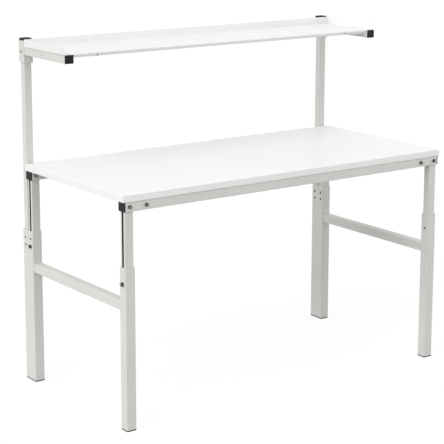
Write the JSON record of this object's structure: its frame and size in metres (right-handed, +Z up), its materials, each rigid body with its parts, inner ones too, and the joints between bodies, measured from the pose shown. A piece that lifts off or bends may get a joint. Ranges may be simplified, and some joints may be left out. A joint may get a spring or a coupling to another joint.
{
  "type": "workbench",
  "caption": "Height-adjustable workbench: laminate top on telescoping steel legs, with a sheet-steel shelf that slides on two rear uprights.",
  "frame": {"origin": "on the floor, in the middle of the overall length and of the overall depth", "axes": "+X along the bench to its right as seen from the front, +Y to its rear, +Z up"},
  "size_m": [1.5038, 0.7458, 1.3453],
  "materials": {
    "laminate": "light grey laminate on chipboard, satin, with a matching plastic edge band",
    "frame": "light grey powder coat, semi-matt with a fine texture",
    "tray": "near-white powder coat, semi-matt",
    "black_plastic": "moulded black plastic",
    "guide_plastic": "moulded light grey plastic",
    "zinc": "grey zinc plating",
    "black_steel": "blackened steel"
  },
  "bodies": {
    "lower_frame": {"outer_leg_front_left": "frame", "outer_leg_rear_left": "frame", "outer_leg_front_right": "frame", "outer_leg_rear_right": "frame", "cross_rail_left": "frame", "cross_rail_right": "frame", "foot_glide_front_left": "black_plastic", "foot_glide_rear_left": "black_plastic", "foot_glide_front_right": "black_plastic", "foot_glide_rear_right": "black_plastic", "leg_guide_front_left": "guide_plastic", "leg_guide_rear_left": "guide_plastic", "leg_guide_front_right": "guide_plastic", "leg_guide_rear_right": "guide_plastic", "lock_nut_front_left": "zinc", "lock_nut_rear_left": "zinc", "lock_nut_front_right": "zinc", "lock_nut_rear_right": "zinc", "upright_left": "frame", "upright_right": "frame", "upright_cap_left": "black_plastic", "upright_cap_right": "black_plastic", "upright_screw_upper_left": "black_steel", "upright_screw_lower_left": "black_steel", "upright_screw_upper_right": "black_steel", "upright_screw_lower_right": "black_steel"},
    "top_frame": {"worktop": "laminate", "beam_front": "frame", "beam_rear": "frame", "inner_leg_front_left": "frame", "inner_leg_rear_left": "frame", "inner_leg_front_right": "frame", "inner_leg_rear_right": "frame", "beam_cap_front_left": "black_plastic", "beam_cap_rear_left": "black_plastic", "beam_cap_front_right": "black_plastic", "beam_cap_rear_right": "black_plastic", "beam_bolt_front_left_outer": "zinc", "beam_bolt_front_left_inner": "zinc", "beam_bolt_rear_left_outer": "zinc", "beam_bolt_rear_left_inner": "zinc", "beam_bolt_front_right_outer": "zinc", "beam_bolt_front_right_inner": "zinc", "beam_bolt_rear_right_outer": "zinc", "beam_bolt_rear_right_inner": "zinc"},
    "shelf": {"shelf_tray": "tray", "shelf_sleeve_left": "frame", "shelf_sleeve_right": "frame", "shelf_arm_left": "frame", "shelf_arm_right": "frame", "arm_cap_left": "black_plastic", "arm_cap_right": "black_plastic", "tray_screw_left": "zinc", "tray_screw_right": "zinc"},
    "lock_screw_front_left": {"lock_screw_front_left": "zinc"},
    "lock_screw_rear_left": {"lock_screw_rear_left": "zinc"},
    "lock_screw_front_right": {"lock_screw_front_right": "zinc"},
    "lock_screw_rear_right": {"lock_screw_rear_right": "zinc"},
    "sleeve_screw_left": {"sleeve_screw_left": "black_steel"},
    "sleeve_screw_right": {"sleeve_screw_right": "black_steel"}
  },
  "joints": [
    {"name": "worktop_height", "type": "slide", "parent": "lower_frame", "child": "top_frame", "axis": [0, 0, 1], "range_m": [-0.2, 0.05]},
    {"name": "shelf_height", "type": "slide", "parent": "lower_frame", "child": "shelf", "axis": [0, 0, 1], "range_m": [-0.3, 0]},
    {"name": "lock_screw_front_left_turn", "type": "hinge", "parent": "lower_frame", "child": "lock_screw_front_left", "pos_m": [-0.7423, -0.3471, 0.544], "axis": [-1, 0, 0], "range_deg": [0, 540]},
    {"name": "lock_screw_rear_left_turn", "type": "hinge", "parent": "lower_frame", "child": "lock_screw_rear_left", "pos_m": [-0.7423, 0.3139, 0.544], "axis": [-1, 0, 0], "range_deg": [0, 540]},
    {"name": "lock_screw_front_right_turn", "type": "hinge", "parent": "lower_frame", "child": "lock_screw_front_right", "pos_m": [0.7423, -0.3471, 0.544], "axis": [1, 0, 0], "range_deg": [0, 540]},
    {"name": "lock_screw_rear_right_turn", "type": "hinge", "parent": "lower_frame", "child": "lock_screw_rear_right", "pos_m": [0.7423, 0.3139, 0.544], "axis": [1, 0, 0], "range_deg": [0, 540]},
    {"name": "sleeve_screw_left_turn", "type": "hinge", "parent": "shelf", "child": "sleeve_screw_left", "pos_m": [-0.7412, 0.3529, 1.2932], "axis": [-1, 0, 0], "range_deg": [0, 540]},
    {"name": "sleeve_screw_right_turn", "type": "hinge", "parent": "shelf", "child": "sleeve_screw_right", "pos_m": [0.7412, 0.3529, 1.2932], "axis": [1, 0, 0], "range_deg": [0, 540]}
  ]
}
